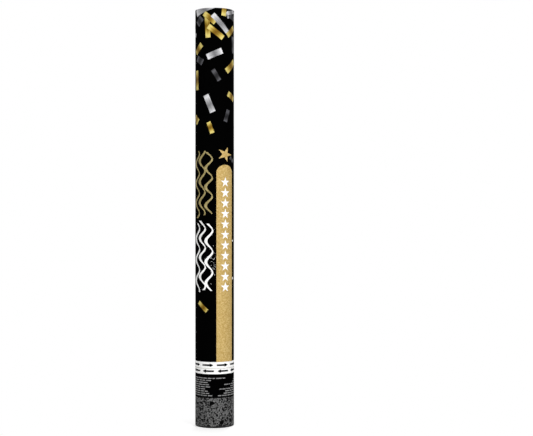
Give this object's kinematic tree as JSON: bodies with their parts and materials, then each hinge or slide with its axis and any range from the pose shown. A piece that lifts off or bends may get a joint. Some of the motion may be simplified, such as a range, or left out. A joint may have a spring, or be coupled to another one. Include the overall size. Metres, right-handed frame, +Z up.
{
  "type": "confetti popper",
  "caption": "Hand-held board tube, twisted at a seam above its base so that a ball-lock valve frees compressed air and throws foil strips out of the mouth.",
  "frame": {"origin": "centre of the flat base", "axes": "+Z up along the tube towards the mouth, -Y towards the printed front with the star and the stripe"},
  "size_m": [0.056, 0.0562, 0.6],
  "materials": {
    "black_plastic": "moulded, fine satin",
    "board": "spiral-wound, bare",
    "printed_paper": "printed and film-laminated",
    "grey_plastic": "moulded",
    "drawn_aluminium": "drawn, bare",
    "black_rubber": "moulded",
    "white_acetal": "moulded",
    "red_acetal": "moulded",
    "steel": "ground",
    "natural_plastic": "moulded",
    "gold_foil": "metallised film",
    "silver_foil": "metallised film",
    "black_foil": "metallised film"
  },
  "bodies": {
    "grip": {"base_cap": "black_plastic", "grip_tube": "board", "grip_wrap": "printed_paper", "coupler_sleeve": "grey_plastic", "slip_ring": "natural_plastic", "air_cylinder": "drawn_aluminium", "fill_valve": "black_rubber", "neck_gasket": "black_rubber", "valve_body": "white_acetal", "thrust_washer": "steel", "retaining_ring": "steel"},
    "barrel": {"barrel_tube": "board", "barrel_wrap": "printed_paper", "breech_housing": "grey_plastic", "cam_collar": "white_acetal", "breech_seal": "black_rubber", "stop_grille": "grey_plastic"},
    "plug": {"release_plug": "red_acetal", "plug_o_ring": "black_rubber"},
    "ball_1": {"lock_ball_1": "steel"},
    "ball_2": {"lock_ball_2": "steel"},
    "ball_3": {"lock_ball_3": "steel"},
    "charge": {"gold_strips": "gold_foil", "silver_strips": "silver_foil", "black_strips": "black_foil", "over_card": "board"},
    "wad_cup": {"wad": "natural_plastic"},
    "cap": {"muzzle_cap": "black_plastic"}
  },
  "joints": [
    {"name": "barrel_twist", "type": "hinge", "parent": "grip", "child": "barrel", "pos_m": [0, 0, 0.0852], "axis": [0, 0, 1], "range_deg": [0, 90]},
    {"name": "ball_1_slide", "type": "slide", "parent": "grip", "child": "ball_1", "axis": [0, 1, 0], "range_m": [0, 0.0019]},
    {"name": "ball_2_slide", "type": "slide", "parent": "grip", "child": "ball_2", "axis": [-0.866, -0.5, 0], "range_m": [0, 0.0019]},
    {"name": "ball_3_slide", "type": "slide", "parent": "grip", "child": "ball_3", "axis": [0.866, -0.5, 0], "range_m": [0, 0.0019]},
    {"name": "plug_lift", "type": "slide", "parent": "grip", "child": "plug", "axis": [0, 0, 1], "range_m": [0, 0.0045]},
    {"name": "charge_slide", "type": "slide", "parent": "barrel", "child": "charge", "axis": [0, 0, 1], "range_m": [0, 0.46]},
    {"name": "wad_slide", "type": "slide", "parent": "barrel", "child": "wad_cup", "axis": [0, 0, 1], "range_m": [0, 0.4462]},
    {"name": "cap_pop", "type": "slide", "parent": "barrel", "child": "cap", "axis": [0, 0, 1], "range_m": [0, 0.345]}
  ],
  "couplings": [
    {"joint": "ball_1_slide", "follows": "barrel_twist", "m_per_rad": 0.0012095},
    {"joint": "ball_2_slide", "follows": "barrel_twist", "m_per_rad": 0.0012095},
    {"joint": "ball_3_slide", "follows": "barrel_twist", "m_per_rad": 0.0012095},
    {"joint": "plug_lift", "follows": "barrel_twist", "m_per_rad": 0.0028647},
    {"joint": "wad_slide", "follows": "charge_slide", "ratio": 0.97},
    {"joint": "cap_pop", "follows": "charge_slide", "ratio": 0.75}
  ]
}
